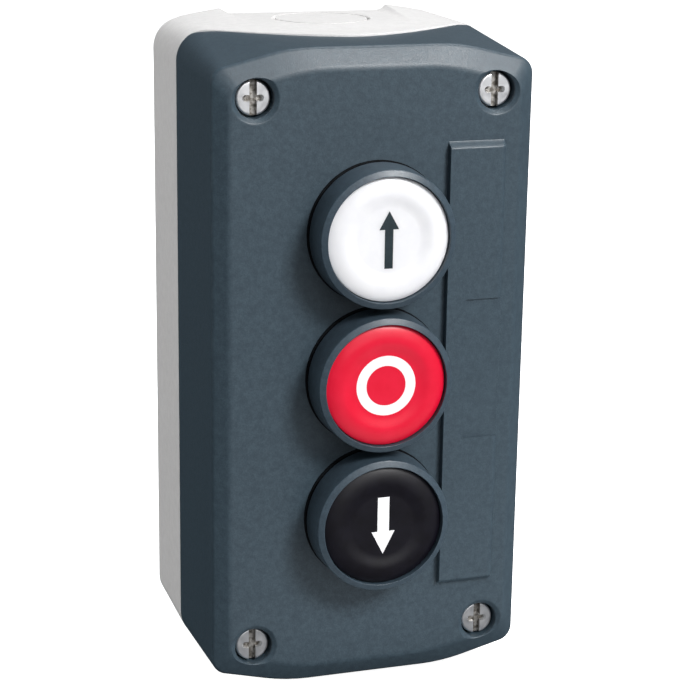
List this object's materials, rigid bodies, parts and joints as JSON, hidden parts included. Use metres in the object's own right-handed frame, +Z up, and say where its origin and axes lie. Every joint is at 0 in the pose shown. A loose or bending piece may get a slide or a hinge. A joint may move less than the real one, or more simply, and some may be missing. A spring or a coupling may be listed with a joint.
{
  "type": "pushbutton control station",
  "caption": "Wall box with a light grey base, a dark grey screwed lid, sprung flush pushbuttons with arrow and ring marks, contact blocks and closed cable entries at both ends.",
  "frame": {"origin": "middle of the flat wall face, between the cable entries", "axes": "+Z up the station, +X to the right seen from the front, -Y out of the wall towards the user"},
  "size_m": [0.068, 0.0615, 0.1396],
  "materials": {
    "light_grey_plastic": "fine moulded grain",
    "slate_plastic": "fine moulded grain",
    "black_rubber": "matt",
    "screw_steel": "zinc plated",
    "spring_steel": "bright drawn wire",
    "cap_white": "semi gloss",
    "cap_red": "semi gloss",
    "cap_black": "semi gloss",
    "mark_dark": "inlaid",
    "mark_white": "inlaid",
    "white_plastic": "moulded",
    "nut_plastic": "moulded",
    "housing_plastic": "moulded",
    "blue_plastic": "moulded",
    "contact_brass": "stamped"
  },
  "bodies": {
    "station": {"enclosure_base": "light_grey_plastic", "enclosure_lid": "slate_plastic", "lid_gasket": "black_rubber", "lid_screws": "screw_steel", "lid_screw_seals": "black_rubber", "up_bezel": "slate_plastic", "up_bezel_seal": "black_rubber", "up_return_spring": "spring_steel", "up_lock_nut": "nut_plastic", "up_contact_housing": "housing_plastic", "up_carrier_spring": "spring_steel", "up_terminals": "contact_brass", "up_terminal_screws": "screw_steel", "up_wire_clamps": "screw_steel", "stop_bezel": "slate_plastic", "stop_bezel_seal": "black_rubber", "stop_return_spring": "spring_steel", "stop_lock_nut": "nut_plastic", "stop_contact_housing": "housing_plastic", "stop_carrier_spring": "spring_steel", "stop_terminals": "contact_brass", "stop_terminal_screws": "screw_steel", "stop_wire_clamps": "screw_steel", "down_bezel": "slate_plastic", "down_bezel_seal": "black_rubber", "down_return_spring": "spring_steel", "down_lock_nut": "nut_plastic", "down_contact_housing": "housing_plastic", "down_carrier_spring": "spring_steel", "down_terminals": "contact_brass", "down_terminal_screws": "screw_steel", "down_wire_clamps": "screw_steel"},
    "up_button": {"up_cap": "cap_white", "up_mark": "mark_dark", "up_plunger": "white_plastic"},
    "up_contact": {"up_contact_carrier": "blue_plastic", "up_contact_bridge": "contact_brass", "up_contact_spring": "spring_steel"},
    "stop_button": {"stop_cap": "cap_red", "stop_mark": "mark_white", "stop_plunger": "white_plastic"},
    "stop_contact": {"stop_contact_carrier": "blue_plastic", "stop_contact_bridge": "contact_brass", "stop_contact_spring": "spring_steel"},
    "down_button": {"down_cap": "cap_black", "down_mark": "mark_white", "down_plunger": "white_plastic"},
    "down_contact": {"down_contact_carrier": "blue_plastic", "down_contact_bridge": "contact_brass", "down_contact_spring": "spring_steel"}
  },
  "joints": [
    {"name": "up_press", "type": "slide", "parent": "station", "child": "up_button", "axis": [0, 1, 0], "range_m": [0, 0.004], "stiffness_N_per_m": 900, "springref_m": -0.004, "deforming": ["up_return_spring"]},
    {"name": "up_contact_slide", "type": "slide", "parent": "station", "child": "up_contact", "axis": [0, 1, 0], "range_m": [0, 0.004], "stiffness_N_per_m": 200, "springref_m": -0.004, "deforming": ["up_carrier_spring"]},
    {"name": "stop_press", "type": "slide", "parent": "station", "child": "stop_button", "axis": [0, 1, 0], "range_m": [0, 0.004], "stiffness_N_per_m": 900, "springref_m": -0.004, "deforming": ["stop_return_spring"]},
    {"name": "stop_contact_slide", "type": "slide", "parent": "station", "child": "stop_contact", "axis": [0, 1, 0], "range_m": [0, 0.004], "stiffness_N_per_m": 200, "springref_m": -0.004, "deforming": ["stop_carrier_spring"]},
    {"name": "down_press", "type": "slide", "parent": "station", "child": "down_button", "axis": [0, 1, 0], "range_m": [0, 0.004], "stiffness_N_per_m": 900, "springref_m": -0.004, "deforming": ["down_return_spring"]},
    {"name": "down_contact_slide", "type": "slide", "parent": "station", "child": "down_contact", "axis": [0, 1, 0], "range_m": [0, 0.004], "stiffness_N_per_m": 200, "springref_m": -0.004, "deforming": ["down_carrier_spring"]}
  ],
  "couplings": [
    {"joint": "up_contact_slide", "follows": "up_press", "ratio": 1},
    {"joint": "stop_contact_slide", "follows": "stop_press", "ratio": 1},
    {"joint": "down_contact_slide", "follows": "down_press", "ratio": 1}
  ]
}
